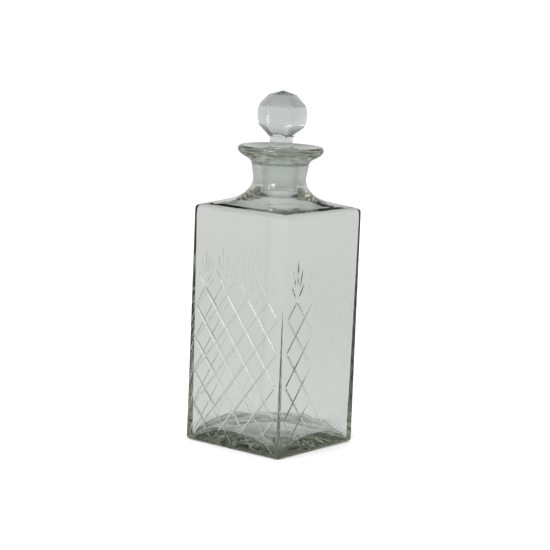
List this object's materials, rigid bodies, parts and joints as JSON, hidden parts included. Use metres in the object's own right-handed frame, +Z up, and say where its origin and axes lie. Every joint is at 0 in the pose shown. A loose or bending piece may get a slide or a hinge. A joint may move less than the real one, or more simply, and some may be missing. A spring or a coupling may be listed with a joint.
{
  "type": "square decanter with ground stopper",
  "caption": "Square cut-glass decanter with a diamond lattice on its faces, a flanged lip and a facet-cut ball stopper that lifts out.",
  "frame": {"origin": "middle of the underside, on the surface the decanter stands on", "axes": "+Z up along the neck, +X and +Y square to two of the four flat faces"},
  "size_m": [0.0822, 0.0822, 0.2454],
  "materials": {
    "bottle_glass": "polished, with ground cuts",
    "stopper_glass": "polished facets, ground plug"
  },
  "bodies": {
    "bottle": {"decanter_body": "bottle_glass"},
    "stopper": {"stopper": "stopper_glass"}
  },
  "joints": [
    {"name": "stopper_lift", "type": "slide", "parent": "bottle", "child": "stopper", "axis": [0, 0, 1], "range_m": [0, 0.06]}
  ]
}
